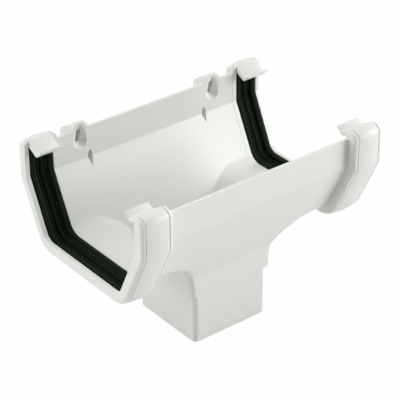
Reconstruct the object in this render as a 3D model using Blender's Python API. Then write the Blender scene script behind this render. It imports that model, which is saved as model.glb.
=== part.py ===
"""Square-line gutter running outlet: one moulded body, two channel seals, two retaining straps.

Metres, Z up. X runs along the gutter, +Y is the wall side with the two fixing bosses.
The part stands on the end of its square spigot.
"""
import math

import bmesh
import bpy

# End sockets: the U section the gutter's end sits in
LENGTH = 0.2092
END_HALF_WIDTH = 0.0713
END_FLOOR_Z = 0.0683
END_KINK_Z = 0.1173
END_SLOPE = 0.4737
END_CORNER_R = 0.0180
END_KINK_R = 0.0080
LIP_HEIGHT = 0.0285
CREST_R = 0.0058
CREST_RISE = 0.10
FLANGE_CREST_FALL = 1.1
FLANGE_WIDTH = 0.0032
FLANGE_DEPTH = 0.0086
FLANGE_EDGE_R = 0.0030
CHANNEL_WIDTH = 0.0195
CHANNEL_OUTER_DEPTH = 0.0025
CHANNEL_INNER_DEPTH = 0.0048
CHANNEL_DROP = 0.0046
RIB_WIDTH = 0.0036
RIB_EDGE_R = 0.0030

# Body between the sockets
BODY_INSET = 0.0070
BODY_WALL = 0.0023
BODY_KINK_RISE = 0.0002
BODY_KINK_R = 0.0060
RIM_FRONT_DROP = 0.0052
RIM_BACK_DROP = 0.0038
RIM_EDGE_R = 0.0006
UNDERSIDE_RISE = 0.0051
FOOT_R = 0.0141

# Hopper and spigot
HOPPER_FLARE_R = 0.0265
HOPPER_CORNER_R = 0.0038
WAIST_Z = 0.0571
SHOULDER_Z = 0.0395
SHOULDER_STEP_X = 0.0032
SHOULDER_STEP_Y = 0.0017
SPIGOT_SIDE = 0.0650
SPIGOT_WALL = 0.0023
SPIGOT_CORNER_R = 0.0040
SHOULDER_EDGE_R = 0.0010

# Fixing bosses on the wall side
BOSS_INSET = 0.0191
BOSS_HALF_LENGTH = 0.0100
BOSS_DEPTH = 0.0081
BOSS_FOOT_DROP = 0.0025
BOSS_FOOT_SLOPE = 0.6
BOSS_EDGE_R = 0.0008
BOSS_SIDE_R = 0.0005
EAR_R = 0.0064
EAR_THICKNESS = 0.0026
RECESS_R = 0.0060
RECESS_DROP = 0.0009
RECESS_RISE = 0.0084
SCREW_SLOT_WIDTH = 0.0032

# Blind pockets next to the bosses, each in a raised housing
POCKET_INSET = 0.0080
POCKET_WIDTH = 0.0040
POCKET_RISE = 0.0065
POCKET_HEIGHT = 0.0118
POCKET_DEPTH = 0.0022
POCKET_WALL = 0.0015
HOUSING_EDGE_R = 0.0020
HOUSING_RUN = 0.0040

# Rubber seals
SEAL_DEPTH = 0.0051
SEAL_DROP = 0.0014
SEAL_LAND = 0.0040
SEAL_WEB = 0.0009
SEAL_MID_RIB = 0.0024

# Retaining straps
STRAP_THICKNESS = 0.0022
STRAP_CROWN = 0.0009
HOOK_VALLEY_DEPTH = 0.0175
HOOK_VALLEY_DROP = 0.0058
HOOK_VALLEY_R = 0.0035
HOOK_TIP_DEPTH = 0.0228
HOOK_TIP_DROP = 0.0020
HOOK_TIP_HEIGHT = 0.0018
HOOK_TIP_R = 0.0005
HOOK_THICKNESS = 0.0026
HOOK_ROOT_DROP = 0.0040
HOOK_LIP_DROP = 0.0031

WALL_EDGE_R = 0.0012
FINE_EDGE_R = 0.0004
CLEARANCE = 0.0003
STEP = 0.00015
OVERLAP = 0.0020
BEYOND = 0.0100

HALF_LENGTH = LENGTH / 2
FLANGE_X = HALF_LENGTH - FLANGE_WIDTH
RIB_X = FLANGE_X - CHANNEL_WIDTH
BODY_X = RIB_X - RIB_WIDTH
CREST_Z = END_KINK_Z + LIP_HEIGHT
CHANNEL_TOP_Z = CREST_Z - CHANNEL_DROP
SEAL_TOP_Z = CHANNEL_TOP_Z - SEAL_DROP
HOOK_VALLEY_Z = CREST_Z - HOOK_VALLEY_DROP
HOOK_TIP_Z = CREST_Z - HOOK_TIP_DROP
BODY_HALF_WIDTH = END_HALF_WIDTH - BODY_INSET
BODY_KINK_Z = END_KINK_Z + BODY_KINK_RISE
RIM_FRONT_Z = CREST_Z - RIM_FRONT_DROP
RIM_BACK_Z = CREST_Z - RIM_BACK_DROP
UNDERSIDE_Z = END_FLOOR_Z + UNDERSIDE_RISE
SPIGOT_HALF = SPIGOT_SIDE / 2
HOPPER_HALF_X = SPIGOT_HALF + SHOULDER_STEP_X
HOPPER_HALF_Y = SPIGOT_HALF + SHOULDER_STEP_Y
BODY_SLOPE = (BODY_HALF_WIDTH - HOPPER_HALF_Y) / (BODY_KINK_Z - WAIST_Z)
BOSS_X = BODY_X - BOSS_INSET
BOSS_BACK_Y = BODY_HALF_WIDTH + BOSS_DEPTH
BOSS_FOOT_Z = BODY_KINK_Z - BOSS_FOOT_DROP
RECESS_TOP_Z = RIM_BACK_Z - RECESS_DROP
POCKET_X = BOSS_X - POCKET_INSET
POCKET_BACK_Y = BODY_HALF_WIDTH + POCKET_DEPTH
POCKET_TOP_Z = BODY_KINK_Z + POCKET_RISE
POCKET_FOOT_Z = POCKET_TOP_Z - POCKET_HEIGHT
FRONT_REACH = END_HALF_WIDTH + STRAP_CROWN
SHIFT_Y = (FRONT_REACH - BOSS_BACK_Y) / 2

WHITE = (0.86, 0.87, 0.87, 1.0)
BLACK = (0.025, 0.028, 0.026, 1.0)


def inset_corners(half_width, kink_z, slope, floor_z, depth):
    """Kink and foot of a sloping trough side, moved inward by depth."""
    root = math.sqrt(1 + slope * slope)
    side = half_width - depth
    kink = kink_z + depth * (root - 1) / slope
    foot = floor_z + depth
    return (side, kink), (side - slope * (kink - foot), foot)


def end_corners(depth):
    """Corners of an end socket's outline, moved inward by depth."""
    kink, foot = inset_corners(END_HALF_WIDTH, END_KINK_Z, END_SLOPE, END_FLOOR_Z, depth)
    kink_r = max(END_KINK_R - depth, 0.001)
    return (*kink, kink_r, 4), (*foot, END_CORNER_R - depth, 10)


def body_corners(depth):
    """Corners of the body's outline, moved inward by depth."""
    kink, foot = inset_corners(BODY_HALF_WIDTH, BODY_KINK_Z, BODY_SLOPE, UNDERSIDE_Z, depth)
    return (*kink, BODY_KINK_R - depth, 4), (*foot, FOOT_R - depth, 10)


def fillet(before, corner, after):
    """Points of the arc that rounds one corner of an outline."""
    y, z, radius, count = corner
    if radius <= 0 or count < 1:
        return [(y, z)]
    ay, az = before[0] - y, before[1] - z
    by, bz = after[0] - y, after[1] - z
    a_len, b_len = math.hypot(ay, az), math.hypot(by, bz)
    ay, az, by, bz = ay / a_len, az / a_len, by / b_len, bz / b_len
    half = math.acos(max(-1.0, min(1.0, ay * by + az * bz))) / 2
    reach = radius / math.tan(half)
    my, mz = ay + by, az + bz
    m_len = math.hypot(my, mz)
    cy = y + my / m_len * radius / math.sin(half)
    cz = z + mz / m_len * radius / math.sin(half)
    start = math.atan2(z + az * reach - cz, y + ay * reach - cy)
    end = math.atan2(z + bz * reach - cz, y + by * reach - cy)
    sweep = (end - start + math.pi) % (2 * math.pi) - math.pi
    angles = [start + sweep * i / count for i in range(count + 1)]
    return [(cy + radius * math.cos(a), cz + radius * math.sin(a)) for a in angles]


def rounded(corners):
    """Closed outline through corners of (y, z, radius, segments)."""
    points = []
    for i, corner in enumerate(corners):
        points += fillet(corners[i - 1], corner, corners[(i + 1) % len(corners)])
    return points


def mirrored(corners):
    """A half outline on the +Y side and its mirror image, as one closed list."""
    return corners + [(-y, z, r, n) for y, z, r, n in reversed(corners)]


def u_outline(outer, top, inner):
    """Closed outline of a U wall: outer side going up, top, inner side going down."""
    kink, foot = outer
    in_kink, in_foot = inner
    return rounded(mirrored([foot, kink, *top, in_kink, in_foot]))


def ring_top(outer_y, inner_y, z, outer_r, inner_r):
    return [(outer_y, z, outer_r, 6), (inner_y, z + (outer_y - inner_y) * CREST_RISE, inner_r, 3)]


def finish_mesh(bm, name, material):
    bmesh.ops.recalc_face_normals(bm, faces=bm.faces)
    mesh = bpy.data.meshes.new(name)
    bm.to_mesh(mesh)
    bm.free()
    obj = bpy.data.objects.new(name, mesh)
    bpy.context.collection.objects.link(obj)
    if material:
        mesh.materials.append(material)
    return obj


def skin(name, rings, material=None):
    """Solid through rings of points, all with the same number of points."""
    bm = bmesh.new()
    rings = [[bm.verts.new(point) for point in ring] for ring in rings]
    for ring, following in zip(rings, rings[1:]):
        for i in range(len(ring)):
            j = (i + 1) % len(ring)
            bm.faces.new((ring[i], ring[j], following[j], following[i]))
    bm.faces.new(rings[0])
    bm.faces.new(rings[-1])
    return finish_mesh(bm, name, material)


def loft(name, stations, material=None):
    """Solid along X; each station is (x, outline of (y, z))."""
    return skin(name, [[(x, y, z) for y, z in outline] for x, outline in stations], material)


def prism_x(name, outline, x0, x1):
    return loft(name, [(x0, outline), (x1, outline)])


def along_y(name, sections):
    """Solid along Y; each section is (y, outline of (x, z))."""
    return skin(name, [[(x, y, z) for x, z in outline] for y, outline in sections])


def square_column(name, half_side, corner_r, z0, z1):
    signs = [(1, 1), (-1, 1), (-1, -1), (1, -1)]
    outline = rounded([(half_side * x, half_side * y, corner_r, 6) for x, y in signs])
    return skin(name, [[(x, y, z) for x, y in outline] for z in (z0, z1)])


def combine(target, tool, operation):
    """Apply one exact Boolean and drop the tool."""
    modifier = target.modifiers.new(operation.lower(), "BOOLEAN")
    modifier.operation = operation
    modifier.solver = "EXACT"
    modifier.object = tool
    bpy.context.view_layer.objects.active = target
    bpy.ops.object.modifier_apply(modifier=modifier.name)
    bpy.data.objects.remove(tool)


def bevel_where(obj, radius, segments, chosen):
    """Round the edges for which chosen(edge) is true."""
    bm = bmesh.new()
    bm.from_mesh(obj.data)
    edges = [e for e in bm.edges if len(e.link_faces) == 2 and chosen(e)]
    bmesh.ops.bevel(bm, geom=edges, offset=radius, segments=segments, profile=0.5,
                    affect="EDGES", clamp_overlap=False)
    bm.to_mesh(obj.data)
    bm.free()


def middle(edge):
    return (edge.verts[0].co + edge.verts[1].co) / 2


def is_brow(edge, end_x, low_z):
    """Edge where a trough side meets the underside or an end of the hopper."""
    point = middle(edge)
    if abs(point.x) > end_x - 1e-5 or point.z < low_z + 1e-5:
        return False
    across = [abs(f.normal.y) for f in edge.link_faces]
    along = [f.normal for f in edge.link_faces if abs(f.normal.y) < 1e-3]
    return max(across) > 0.3 and len(along) == 1 and along[0].z < 0.5


def is_shoulder_edge(edge):
    return all(abs(vertex.co.z - SHOULDER_Z) < 1e-6 for vertex in edge.verts)


def brow_stations(obj, end_x, low_z):
    """Each vertex of the brow, with the direction of the brow there."""
    bm = bmesh.new()
    bm.from_mesh(obj.data)
    stations = []
    for vertex in bm.verts:
        away = [e.other_vert(vertex).co - vertex.co for e in vertex.link_edges if is_brow(e, end_x, low_z)]
        if away:
            run = away[0].normalized() - (away[1].normalized() if len(away) > 1 else away[0] * 0)
            stations.append((vertex.co.copy(), run.normalized()))
    bm.free()
    return stations


def widen_brow(obj, stations, reach, growth):
    """Scale each cross section of the bevelled brow about its station by growth(z)."""
    for vertex in obj.data.vertices:
        near = [(abs((vertex.co - at).dot(run)), i) for i, (at, run) in enumerate(stations)
                if (vertex.co - at).length < reach]
        if near:
            at = stations[min(near)[1]][0]
            vertex.co = at + (vertex.co - at) * growth(at.z)


def is_end_edge(edge):
    """Edge that lies in one end face of a prism along X."""
    return abs(edge.verts[0].co.x - edge.verts[1].co.x) < 1e-6


def hopper_outline(depth, end_x, top_z, low_z):
    """Side view of the hopper: straight ends flaring into the trough's underside."""
    radius = HOPPER_FLARE_R + depth
    centre_x = HOPPER_HALF_X + HOPPER_FLARE_R
    centre_z = UNDERSIDE_Z - HOPPER_FLARE_R
    arc = [(centre_x - radius * math.cos(a), centre_z + radius * math.sin(a))
           for a in (math.pi / 2 * i / 14 for i in range(15))]
    right = [(HOPPER_HALF_X - depth, low_z), *arc, (end_x, UNDERSIDE_Z + depth), (end_x, top_z)]
    return right + [(-x, z) for x, z in reversed(right)]


def trough_outline(depth, back_z, front_z, low_z, edge_r):
    """Cross section of the trough and hopper as one solid."""
    kink, _ = body_corners(depth)
    waist = HOPPER_HALF_Y - depth
    waist_z = kink[1] - (kink[0] - waist) / BODY_SLOPE
    back = [(waist, low_z, 0, 0), (waist, waist_z, 0, 0), kink, (kink[0], back_z, edge_r, 3)]
    front = mirrored(back)[len(back):]
    front[0] = (-kink[0], front_z, edge_r, 3)
    return rounded(back + front)


def trough_solid(name, depth, end_x, outline, low_z):
    """Trough and hopper in one: the cross section cut to the side view, its brow rounded."""
    solid = prism_x(name, outline, -end_x, end_x)
    side_view = hopper_outline(depth, end_x + BEYOND, max(z for _, z in outline) + BEYOND, low_z - BEYOND)
    reach = BODY_HALF_WIDTH + BEYOND
    combine(solid, along_y(name + "_side", [(-reach, side_view), (reach, side_view)]), "INTERSECT")
    stations = brow_stations(solid, end_x, low_z)
    corner_r = HOPPER_CORNER_R - depth
    bevel_where(solid, corner_r, 6, lambda e: is_brow(e, end_x, low_z))
    foot_reach = (FOOT_R - depth) * math.tan((math.pi / 2 - math.atan(BODY_SLOPE)) / 2)
    centre_z = UNDERSIDE_Z - HOPPER_FLARE_R

    def growth(z):
        turn = math.asin(max(0.0, min(1.0, (z - centre_z) / (HOPPER_FLARE_R + depth))))
        share = turn / (math.pi / 2)
        return 1 + (foot_reach / corner_r - 1) * share ** 4

    widen_brow(solid, stations, 2 * corner_r, growth)
    return solid


def wall_middle(z):
    """Y of the middle of the body's wall at height z."""
    return BODY_HALF_WIDTH - BODY_WALL / 2 - BODY_SLOPE * max(0.0, BODY_KINK_Z - z)


def add_boss(body, side):
    """Block and ear of one fixing boss."""
    inner = wall_middle(RIM_BACK_Z)
    foot_z = BOSS_FOOT_Z - (BOSS_BACK_Y - inner) * BOSS_FOOT_SLOPE
    outline = rounded([(inner, RIM_BACK_Z, 0, 0),
                       (BOSS_BACK_Y, RIM_BACK_Z, BOSS_EDGE_R, 4),
                       (BOSS_BACK_Y, BOSS_FOOT_Z, 2 * BOSS_EDGE_R, 4),
                       (wall_middle(foot_z), foot_z, 0, 0),
                       (inner, BODY_KINK_Z, 0, 0)])
    x0 = side * BOSS_X - BOSS_HALF_LENGTH
    block = prism_x("boss", outline, x0, x0 + 2 * BOSS_HALF_LENGTH)
    proud_y = BODY_HALF_WIDTH + OVERLAP / 2
    bevel_where(block, BOSS_SIDE_R, 2, lambda e: is_end_edge(e) and middle(e).y > proud_y)
    combine(body, block, "UNION")
    wall_y = BODY_HALF_WIDTH - BODY_WALL
    ear = arch(side * BOSS_X, RECESS_TOP_Z, EAR_R, RIM_BACK_Z - BEYOND,
               wall_y - STEP, wall_y + EAR_THICKNESS)
    combine(body, ear, "UNION")


def arch(x, z, radius, low_z, y0, y1):
    """Upright slab with a round top."""
    angles = [math.pi * i / 20 for i in range(21)]
    top = [(x + radius * math.cos(a), z + radius * math.sin(a)) for a in angles]
    outline = [(x + radius, low_z), *top, (x - radius, low_z)]
    return along_y("arch", [(y0, outline), (y1, outline)])


def add_pocket_rib(body, side):
    """Raised housing on the wall side that a pocket is cut into."""
    half = POCKET_WIDTH / 2 + POCKET_WALL
    back = POCKET_BACK_Y + POCKET_WALL
    top_z = POCKET_TOP_Z + POCKET_WALL
    foot_z = POCKET_FOOT_Z - HOUSING_RUN
    outline = rounded([(wall_middle(top_z), top_z + HOUSING_RUN, 0, 0),
                       (back, top_z, HOUSING_EDGE_R, 3),
                       (back, POCKET_FOOT_Z + HOUSING_RUN, HOUSING_EDGE_R, 3),
                       (wall_middle(foot_z), foot_z, 0, 0),
                       (wall_middle(BODY_KINK_Z), BODY_KINK_Z, 0, 0)])
    combine(body, prism_x("pocket_rib", outline, side * POCKET_X - half, side * POCKET_X + half), "UNION")


def stadium(x, z0, z1, radius, segments):
    """Upright slot outline of (x, z)."""
    top = [(x + radius * math.cos(a), z1 + radius * math.sin(a))
           for a in (math.pi * i / segments for i in range(segments + 1))]
    low = [(x - radius * math.cos(a), z0 - radius * math.sin(a))
           for a in (math.pi * i / segments for i in range(segments + 1))]
    return top + low


def cut_recess(body, side):
    """Countersunk upright slot for the fixing screw."""
    face_y = BODY_HALF_WIDTH - BODY_WALL
    x = side * BOSS_X
    z1 = RECESS_TOP_Z
    z0 = z1 - RECESS_RISE
    slot_r = SCREW_SLOT_WIDTH / 2
    depths = [(face_y - OVERLAP, RECESS_R + OVERLAP),
              (face_y + RECESS_R - slot_r, slot_r),
              (BOSS_BACK_Y + OVERLAP, slot_r)]
    cutter = along_y("recess", [(y, stadium(x, z0, z1, r, 16)) for y, r in depths])
    combine(body, cutter, "DIFFERENCE")


def cut_pocket(body, side):
    """Blind pocket that narrows towards its foot."""
    foot_y = wall_middle(POCKET_FOOT_Z)
    outline = [(foot_y - BODY_WALL, POCKET_TOP_Z),
               (POCKET_BACK_Y, POCKET_TOP_Z),
               (POCKET_BACK_Y, POCKET_TOP_Z - HOUSING_RUN),
               (foot_y, POCKET_FOOT_Z),
               (foot_y - BODY_WALL, POCKET_FOOT_Z)]
    x = side * POCKET_X
    combine(body, prism_x("pocket", outline, x - POCKET_WIDTH / 2, x + POCKET_WIDTH / 2), "DIFFERENCE")


def flange_outline(edge):
    """End flange's outline with its outer side drawn in by edge."""
    side = END_HALF_WIDTH - edge
    crest_z = CREST_Z - edge * FLANGE_CREST_FALL
    top = ring_top(side, END_HALF_WIDTH - FLANGE_DEPTH, crest_z, CREST_R - edge / 2, WALL_EDGE_R)
    return u_outline(end_corners(edge), top, end_corners(FLANGE_DEPTH))


def channel_outline():
    outer_y = END_HALF_WIDTH - CHANNEL_OUTER_DEPTH
    inner_y = END_HALF_WIDTH - CHANNEL_INNER_DEPTH
    top = ring_top(outer_y, inner_y, CHANNEL_TOP_Z, FINE_EDGE_R, FINE_EDGE_R)
    return u_outline(end_corners(CHANNEL_OUTER_DEPTH), top, end_corners(CHANNEL_INNER_DEPTH))


def rib_outline(edge):
    depth = BODY_WALL + STEP
    inner_y = BODY_HALF_WIDTH - depth
    top = ring_top(END_HALF_WIDTH - edge, inner_y, CREST_Z - edge, CREST_R - edge / 2, WALL_EDGE_R)
    return u_outline(end_corners(edge), top, body_corners(depth))


def socket(name, side):
    """Rib, channel wall and end flange of one end as a single loft."""
    stations = []
    for i in range(4):
        turn = math.pi / 2 * i / 3
        x = BODY_X + RIB_EDGE_R * (1 - math.cos(turn))
        stations.append((x, rib_outline(RIB_EDGE_R * (1 - math.sin(turn)))))
    stations += [(RIB_X, rib_outline(0)), (RIB_X, channel_outline()), (FLANGE_X, channel_outline()),
                 (FLANGE_X, flange_outline(0))]
    for i in range(6):
        turn = math.pi / 2 * i / 5
        drawn_in = FLANGE_EDGE_R * (1 - math.cos(turn))
        x = HALF_LENGTH - FLANGE_EDGE_R * (1 - math.sin(turn))
        stations.append((x, flange_outline(drawn_in)))
    return loft(name, [(side * x, outline) for x, outline in stations])


def outlet_body(material):
    shell_x = BODY_X + RIB_WIDTH / 2
    outline = trough_outline(0.0, RIM_BACK_Z, RIM_FRONT_Z, SHOULDER_Z, RIM_EDGE_R)
    body = trough_solid("outlet_body", 0.0, shell_x, outline, SHOULDER_Z)
    bevel_where(body, SHOULDER_EDGE_R, 3, is_shoulder_edge)
    combine(body, square_column("spigot", SPIGOT_HALF, SPIGOT_CORNER_R, 0.0, SHOULDER_Z + OVERLAP), "UNION")
    for side in (-1, 1):
        add_boss(body, side)
        add_pocket_rib(body, side)
    above = RIM_BACK_Z + 2 * BEYOND
    ledge_z = SHOULDER_Z + BODY_WALL
    outline = trough_outline(BODY_WALL, above, above, ledge_z, 0.0)
    cavity = trough_solid("cavity", BODY_WALL, shell_x + BEYOND, outline, ledge_z)
    combine(body, cavity, "DIFFERENCE")
    bore = square_column("bore", SPIGOT_HALF - SPIGOT_WALL, SPIGOT_CORNER_R - SPIGOT_WALL, -BEYOND,
                         ledge_z + OVERLAP)
    combine(body, bore, "DIFFERENCE")
    for side in (-1, 1):
        cut_recess(body, side)
        cut_pocket(body, side)
        combine(body, socket("socket", side), "UNION")
    body.data.materials.clear()
    body.data.materials.append(material)
    return body


def seal_outline(height):
    """Seal's U outline, standing height above its base."""
    base = END_HALF_WIDTH - SEAL_DEPTH
    top = [(base, SEAL_TOP_Z, CLEARANCE, 2), (base - height, SEAL_TOP_Z, CLEARANCE, 2)]
    return u_outline(end_corners(SEAL_DEPTH), top, end_corners(SEAL_DEPTH + height))


def seal(name, side, material):
    x0 = RIB_X + CLEARANCE
    width = CHANNEL_WIDTH - 2 * CLEARANCE
    land, web, rib = SEAL_LAND, SEAL_WEB, SEAL_MID_RIB
    profile = [(0.0, 0.5 * land), (0.02, 0.8 * land), (0.06, land), (0.13, land),
               (0.17, 0.8 * land), (0.20, web), (0.46, web), (0.475, rib), (0.525, rib),
               (0.54, web), (0.80, web), (0.83, 0.8 * land), (0.87, land), (0.94, land),
               (0.98, 0.8 * land), (1.0, 0.5 * land)]
    return loft(name, [(side * (x0 + width * t), seal_outline(h)) for t, h in profile], material)


def strap_outline(crown):
    """Strap's outline with hooks, its outer side raised by crown."""
    outer_kink, outer_foot = end_corners(-crown)
    inner_kink, inner_foot = end_corners(STRAP_THICKNESS)
    edge = END_HALF_WIDTH
    top = [(edge + crown, CREST_Z + crown, CREST_R + crown, 7),
           (edge - FLANGE_DEPTH, CREST_Z + FLANGE_DEPTH * CREST_RISE + crown, WALL_EDGE_R, 3),
           (edge - HOOK_VALLEY_DEPTH, HOOK_VALLEY_Z + crown, HOOK_VALLEY_R, 4),
           (edge - HOOK_TIP_DEPTH, HOOK_TIP_Z + crown / 2, HOOK_TIP_R, 3),
           (edge - HOOK_TIP_DEPTH - FINE_EDGE_R, HOOK_TIP_Z - HOOK_TIP_HEIGHT, FINE_EDGE_R, 2),
           (edge - HOOK_VALLEY_DEPTH, HOOK_VALLEY_Z - HOOK_THICKNESS, HOOK_VALLEY_R / 2, 4),
           (edge - FLANGE_DEPTH, CREST_Z - HOOK_ROOT_DROP, WALL_EDGE_R, 3),
           (edge - STRAP_THICKNESS, CREST_Z - HOOK_LIP_DROP, 2 * FINE_EDGE_R, 3)]
    return u_outline((outer_kink, outer_foot), top, (inner_kink, inner_foot))


def strap(name, side, material):
    x0 = RIB_X + CLEARANCE
    width = CHANNEL_WIDTH - 2 * CLEARANCE
    stations = []
    for t in (0.0, 0.06, 0.16, 0.32, 0.5, 0.68, 0.84, 0.94, 1.0):
        stations.append((side * (x0 + width * t), strap_outline(STRAP_CROWN * (1 - (2 * t - 1) ** 2))))
    return loft(name, stations, material)


def principled(name, colour, roughness):
    material = bpy.data.materials.new(name)
    material.use_nodes = True
    shader = material.node_tree.nodes["Principled BSDF"]
    shader.inputs["Base Color"].default_value = colour
    shader.inputs["Roughness"].default_value = roughness
    material.diffuse_color = colour
    return material


def shade(obj):
    """Smooth the round faces, keep the corners crisp, and centre the part on its box."""
    for vertex in obj.data.vertices:
        vertex.co.y += SHIFT_Y
    obj.data.shade_smooth()
    bm = bmesh.new()
    bm.from_mesh(obj.data)
    for edge in bm.edges:
        if len(edge.link_faces) == 2:
            edge.smooth = edge.calc_face_angle(0.0) < math.radians(28)
    bm.to_mesh(obj.data)
    bm.free()


def main():
    for obj in list(bpy.data.objects):
        bpy.data.objects.remove(obj)
    parts = [outlet_body(principled("upvc_body", WHITE, 0.22))]
    for side, word in ((-1, "left"), (1, "right")):
        parts.append(seal("gutter_seal_" + word, side, principled("seal_rubber_" + word, BLACK, 0.5)))
        parts.append(strap("retaining_strap_" + word, side, principled("upvc_strap_" + word, WHITE, 0.22)))
    for part in parts:
        shade(part)


main()
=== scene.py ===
# %% [markdown]
# # A gutter running outlet in white plastic
# The part joins two lengths of square-line gutter and drops the rainwater into a square downpipe.
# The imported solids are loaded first, as a fixed frame in metres. Every piece below is made in that same
# frame, so nothing has to be fitted: a piece is simply modelled where the solid says it is.

# %% Load the frame
import math

import bmesh
import bpy
from mathutils import Matrix, Vector


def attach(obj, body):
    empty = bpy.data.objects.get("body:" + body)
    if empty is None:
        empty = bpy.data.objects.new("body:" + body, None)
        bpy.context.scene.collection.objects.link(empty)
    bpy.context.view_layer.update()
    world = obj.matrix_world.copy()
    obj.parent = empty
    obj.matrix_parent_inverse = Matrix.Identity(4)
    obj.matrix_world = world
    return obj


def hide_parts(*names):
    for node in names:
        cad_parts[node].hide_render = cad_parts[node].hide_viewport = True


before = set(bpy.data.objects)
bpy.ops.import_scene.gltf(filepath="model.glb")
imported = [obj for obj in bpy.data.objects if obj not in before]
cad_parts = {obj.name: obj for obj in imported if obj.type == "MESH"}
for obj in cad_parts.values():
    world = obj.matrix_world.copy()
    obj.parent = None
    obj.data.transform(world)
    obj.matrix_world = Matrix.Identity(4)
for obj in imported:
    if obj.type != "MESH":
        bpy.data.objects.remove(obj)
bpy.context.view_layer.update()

# %% [markdown]
# ## Shared sizes
# X runs along the gutter, +Y is the wall side with the two fixing bosses, and the spigot stands on Z = 0.
# These sizes place the pieces against each other. Sizes that only one piece needs come in its own cell.
# They are the solids' sizes, but a few small ones, at the bosses, the shoulder, the crest and the hook
# tips, follow the photograph more closely, and the pockets and the seals have a finer form here.

# %% Shared sizes in metres
LENGTH = 0.2092
END_HALF_WIDTH = 0.0713
END_FLOOR_Z = 0.0683
END_KINK_Z = 0.1173
LIP_HEIGHT = 0.0285
FLANGE_WIDTH = 0.0032
CHANNEL_WIDTH = 0.0195
RIB_WIDTH = 0.0036
BODY_INSET = 0.0070
BODY_WALL = 0.0023
BODY_KINK_RISE = 0.0002
RIM_FRONT_DROP = 0.0052
RIM_BACK_DROP = 0.0038
UNDERSIDE_RISE = 0.0051
STEP = 0.00015
OVERLAP = 0.0020
BEYOND = 0.0100
TINY = 1e-6

HALF_LENGTH = LENGTH / 2
FLANGE_X = HALF_LENGTH - FLANGE_WIDTH
RIB_X = FLANGE_X - CHANNEL_WIDTH
BODY_X = RIB_X - RIB_WIDTH
CREST_Z = END_KINK_Z + LIP_HEIGHT
BODY_HALF_WIDTH = END_HALF_WIDTH - BODY_INSET
BODY_KINK_Z = END_KINK_Z + BODY_KINK_RISE
RIM_FRONT_Z = CREST_Z - RIM_FRONT_DROP
RIM_BACK_Z = CREST_Z - RIM_BACK_DROP
UNDERSIDE_Z = END_FLOOR_Z + UNDERSIDE_RISE
print("trough to", round(BODY_X, 4), "m, channel from", round(RIB_X, 4), "to", round(FLANGE_X, 4), "m")

# %% [markdown]
# ## Outlines
# Moulded plastic has no sharp corners, so every cross section is a list of corners with a radius each.
# One function turns such a list into points. Moving a sloping side inward by a depth gives the next
# layer of the part: flange, strap, channel wall and seal are all the same U at different depths.

# %% Rounded outlines


def inset_corners(half_width, kink_z, slope, floor_z, depth):
    """Kink and foot of a sloping side, moved inward by depth."""
    root = math.sqrt(1 + slope * slope)
    side = half_width - depth
    kink = kink_z + depth * (root - 1) / slope
    foot = floor_z + depth
    return (side, kink), (side - slope * (kink - foot), foot)


def fillet(before, corner, after):
    """Points of the arc that rounds one corner."""
    y, z, radius, count = corner
    if radius <= 0 or count < 1:
        return [(y, z)]
    to_before = Vector((before[0] - y, before[1] - z)).normalized()
    to_after = Vector((after[0] - y, after[1] - z)).normalized()
    half = to_before.angle(to_after) / 2
    centre = Vector((y, z)) + (to_before + to_after).normalized() * radius / math.sin(half)
    first = Vector((y, z)) + to_before * radius / math.tan(half) - centre
    last = Vector((y, z)) + to_after * radius / math.tan(half) - centre
    start = math.atan2(first.y, first.x)
    sweep = (math.atan2(last.y, last.x) - start + math.pi) % (2 * math.pi) - math.pi
    angles = [start + sweep * i / count for i in range(count + 1)]
    return [(centre.x + radius * math.cos(a), centre.y + radius * math.sin(a)) for a in angles]


def rounded(corners):
    points = []
    for i, corner in enumerate(corners):
        points += fillet(corners[i - 1], corner, corners[(i + 1) % len(corners)])
    return points


def mirrored(corners):
    return corners + [(-y, z, r, n) for y, z, r, n in reversed(corners)]


def u_outline(outer, top, inner):
    """Closed outline of a U wall: up the outside, over the top, down the inside."""
    kink, foot = outer
    in_kink, in_foot = inner
    return rounded(mirrored([foot, kink, *top, in_kink, in_foot]))


# %% [markdown]
# ## Working in edit mode
# A piece starts from a plane that is merged to one point. The point is extruded round the outline, the
# loop is extruded to the next station, and its points are slid onto the next outline. This is how a
# modeller lofts a moulding by hand, and it keeps clean strips of quads for the highlights to run along.

# %% Edit-mode helpers


def deselect_all():
    for obj in bpy.context.selected_objects:
        obj.select_set(False)


def start_piece(name):
    """A plane merged to a single point, left in edit mode."""
    deselect_all()
    bpy.ops.mesh.primitive_plane_add(size=0.01, location=(0, 0, 0))
    obj = bpy.context.object
    obj.name = name
    obj.data.name = name
    bpy.ops.object.mode_set(mode="EDIT")
    bpy.ops.mesh.select_mode(type="VERT")
    bpy.ops.mesh.select_all(action="SELECT")
    bpy.ops.mesh.merge(type="CENTER")
    bpy.ops.object.mode_set(mode="OBJECT")
    bpy.ops.object.mode_set(mode="EDIT")
    return obj


def select_only(obj, vertices=(), edges=()):
    """Select vertices by index, or the edges between them, in edit mode."""
    bpy.ops.mesh.select_all(action="DESELECT")
    mesh = bmesh.from_edit_mesh(obj.data)
    mesh.verts.ensure_lookup_table()
    for i in vertices:
        mesh.verts[i].select_set(True)
    for a, b in edges:
        found = mesh.edges.get((mesh.verts[a], mesh.verts[b]))
        if found:
            found.select_set(True)
    bmesh.update_edit_mesh(obj.data)


def loop_edges(ring):
    return [(ring[i], ring[(i + 1) % len(ring)]) for i in range(len(ring))]


def draw_loop(obj, points):
    """Extrude the piece's single point along 3-D points and close the loop."""
    bpy.ops.transform.translate(value=points[0])
    for here, there in zip(points, points[1:]):
        move = [b - a for a, b in zip(here, there)]
        bpy.ops.mesh.extrude_region_move(TRANSFORM_OT_translate={"value": move})
    ring = list(range(len(points)))
    select_only(obj, vertices=(ring[0], ring[-1]))
    bpy.ops.mesh.edge_face_add()
    return ring


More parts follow.
